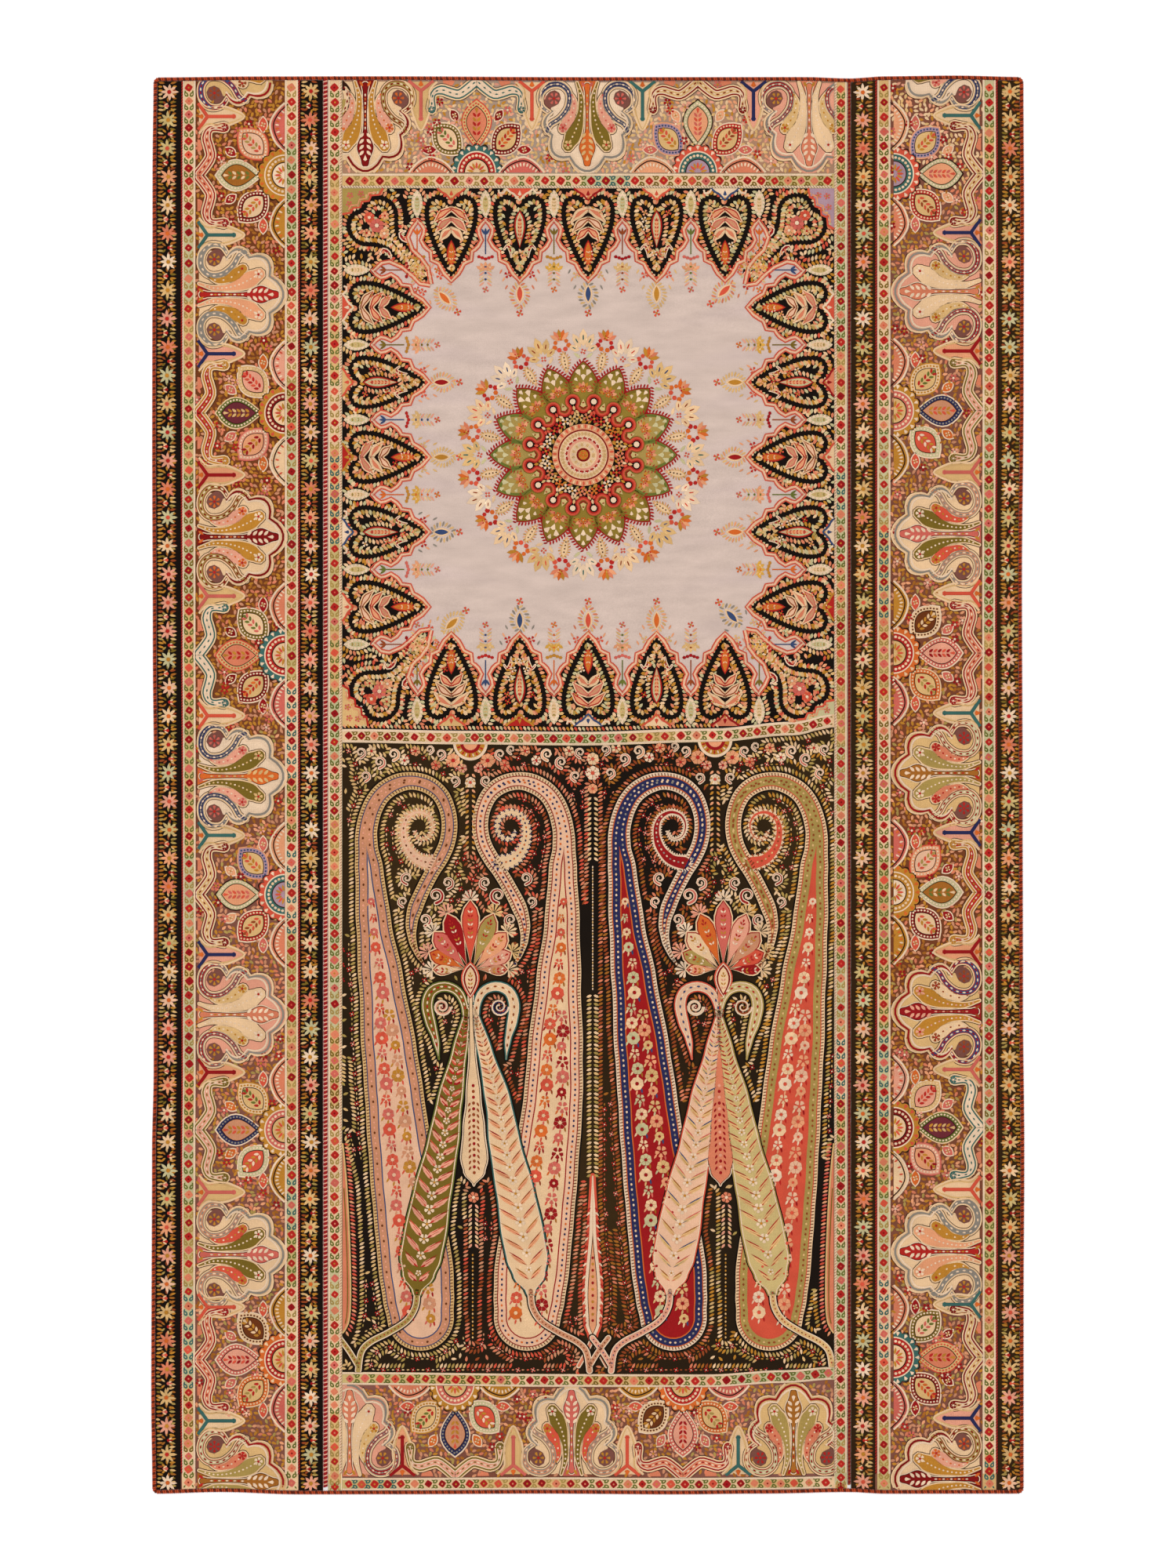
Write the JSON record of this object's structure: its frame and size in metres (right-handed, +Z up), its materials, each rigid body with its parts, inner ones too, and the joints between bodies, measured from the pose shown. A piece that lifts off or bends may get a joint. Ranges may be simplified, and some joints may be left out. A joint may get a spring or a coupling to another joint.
{
  "type": "needlework rug",
  "caption": "Flat rectangular needlework rug: embroidered wool cloths and narrow bands joined by whipped seams inside an overcast edge, lying flat on its back.",
  "frame": {"origin": "middle of the rug's underside, on the floor", "axes": "+Z up from the floor, +Y along the rug's length towards the medallion field's end, +X across the rug"},
  "size_m": [1.372, 2.2289, 0.0046],
  "materials": {
    "border_wool": "side border cloths covered with wool chain stitch, many colours",
    "end_wool": "end border cloths covered with wool chain stitch, mauve-grey ground",
    "medallion_wool": "medallion field covered with wool chain stitch, mauve-grey and black grounds",
    "paisley_wool": "paisley field covered with wool chain stitch, black and olive ground",
    "band_wool": "narrow bands of cream wool chain stitch with small blossoms",
    "seam_wool": "whipped seam of thick red wool",
    "binding_wool": "overcast edge of thick orange-red wool"
  },
  "bodies": {
    "root": {"border_panel_left": "border_wool", "border_panel_right": "border_wool", "end_border_top": "end_wool", "end_border_bottom": "end_wool", "field_medallion": "medallion_wool", "field_paisley": "paisley_wool", "band_top": "band_wool", "band_middle": "band_wool", "band_low": "band_wool", "band_bottom": "band_wool", "band_left": "band_wool", "band_right": "band_wool", "seam_cord_left": "seam_wool", "seam_cord_right": "seam_wool", "edge_binding": "binding_wool"}
  },
  "joints": []
}
